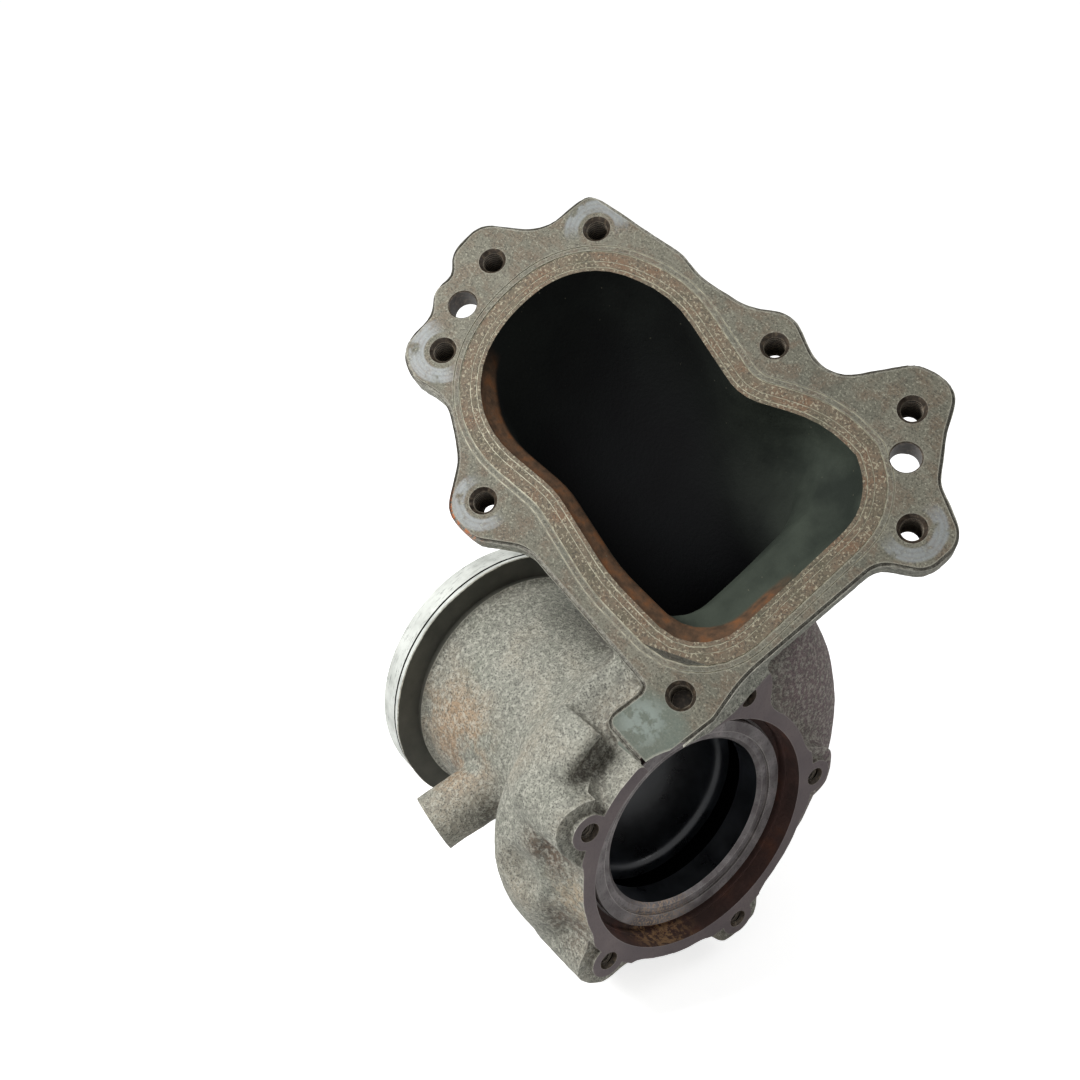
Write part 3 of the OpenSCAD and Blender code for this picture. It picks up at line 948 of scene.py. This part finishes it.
def tap(radius, pitch, depth, mouth_r, at):
    """Cuts a tapped hole: rings of the thread tilted by its lead, a chamfer at the mouth."""
    steps = 40
    rings = [(0, -depth, 0), (radius, -depth, 0)]
    z = -depth + 1
    while z < -2.4:
        rings += [(radius, z, 1), (radius + 0.55 * pitch, z + 0.5 * pitch, 1)]
        z += pitch
    rings += [(radius, -1.8, 0), (mouth_r, 0, 0), (mouth_r, 4, 0), (0, 4, 0)]
    points = []
    for k in range(steps):
        a = 2 * math.pi * k / steps
        for r, z, lead in rings:
            points.append((r * math.cos(a), r * math.sin(a), z + lead * 0.5 * pitch * math.sin(a)))
    cut_with(add_mesh("tap", points, wound(len(rings), steps), at), TAPS)


def drill_holes():
    """M10 taps and plain holes in the inlet flange, M8 taps in the lobes."""
    for x, y in TAPPED:
        tap(4.2, 1.5, 31, 5.7, inlet_place(x, y))
    tap(4.2, 1.5, 12.5, 5.7, inlet_place(*BLIND))
    for x, y in PLAIN:
        plain = [(0, -24), (5.8, -24), (5.8, -0.5), (6.3, 0), (6.3, 4), (0, 4)]
        cut_with(turned("drill", plain, 48, inlet_place(x, y)), TAPS)
    for turn in LOBE_TURNS:
        a = math.radians(LOBE_TURN + turn)
        at = Matrix.Translation((LOBE_HOLE_AT * math.cos(a), LOBE_HOLE_AT * math.sin(a), 0))
        tap(3.2, 1.25, 12, 3.9, at)


cut_faces()
wear_plate_corner()
lower_lobe_ends()
hollow_pocket()
turn_clamp_ring()
saw_stub(stub_at)
open_passage()
print_gasket()
bore_wheel_side()
drill_holes()

clear_selection()
body.select_set(True)
bpy.context.view_layer.objects.active = body
bpy.ops.object.shade_smooth_by_angle(angle=math.radians(32))
apply_modifiers(body)
body.name = "turbine_housing_casting"
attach(body, "root")
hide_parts("turbine_housing")

# Studio
scene = bpy.context.scene
scene.view_settings.view_transform = "Standard"
AIM = (-0.07, 0, 0.07)
CAMERA_AT = Vector((287.7, -266.3, 326.3)) * MM
CAMERA_LOOK = Vector((-0.7386, 0.4937, -0.4590)).normalized()
CAMERA_RIGHT = Vector((0.5558, 0.8313, 0)).normalized()


def studio_floor():
    bpy.ops.mesh.primitive_plane_add(size=12, location=(0, 0, cad_low.z))
    floor = bpy.context.object
    floor.name = "studio_floor"
    mat, tree, _ = material("pale studio paper")
    paper = node(tree, "ShaderNodeBsdfPrincipled", [("Base Color", colour("f2f2f2")), ("Roughness", 0.9)])
    white = node(tree, "ShaderNodeEmission", [("Color", (1, 1, 1, 1)), ("Strength", 0.72)])
    path = node(tree, "ShaderNodeLightPath")
    lit = node(tree, "ShaderNodeAddShader", [(0, paper.outputs["BSDF"]), (1, white.outputs[0])])
    seen = node(tree, "ShaderNodeMixShader", [
        (0, path.outputs["Is Camera Ray"]), (1, paper.outputs["BSDF"]), (2, lit.outputs[0])])
    node(tree, "ShaderNodeOutputMaterial", [("Surface", seen.outputs[0])])
    paint(floor, mat)
    return floor


def white_world():
    """White to the camera and in mirror-like rays, dimmer as a lamp."""
    world = bpy.data.worlds.new("studio")
    world.use_nodes = True
    tree = world.node_tree
    tree.nodes.clear()
    path = node(tree, "ShaderNodeLightPath")
    seen = larger(tree, path.outputs["Is Camera Ray"], path.outputs["Is Glossy Ray"])
    seen = larger(tree, seen, path.outputs["Is Transmission Ray"])
    strength = node(tree, "ShaderNodeMapRange", [("Value", seen), ("To Min", 0.3), ("To Max", 1.0)])
    back = node(tree, "ShaderNodeBackground", [("Color", (1, 1, 1, 1)), ("Strength", strength.outputs[0])])
    node(tree, "ShaderNodeOutputWorld", [("Surface", back.outputs[0])])
    return world


def softbox(name, at, size, watts):
    data = bpy.data.lights.new(name, "AREA")
    data.energy = watts
    data.size = size
    lamp = bpy.data.objects.new(name, data)
    lamp.location = at
    lamp.rotation_euler = (Vector(AIM) - Vector(at)).to_track_quat("-Z", "Y").to_euler()
    scene.collection.objects.link(lamp)


def photo_camera():
    data = bpy.data.cameras.new("photo camera")
    data.lens = 43.33
    data.sensor_width = 36
    data.clip_start = 0.01
    camera = bpy.data.objects.new("photo camera", data)
    scene.collection.objects.link(camera)
    up = CAMERA_RIGHT.cross(CAMERA_LOOK).normalized()
    turn = Matrix((CAMERA_RIGHT, up, -CAMERA_LOOK)).transposed()
    camera.matrix_world = Matrix.Translation(CAMERA_AT) @ turn.to_4x4()
    return camera


floor = studio_floor()
scene.world = white_world()
softbox("key above left", (-0.27, -0.52, 0.62), 0.35, 7.4)
softbox("fill right", (0.35, 0.62, 0.75), 0.4, 1.2)
scene.camera = photo_camera()
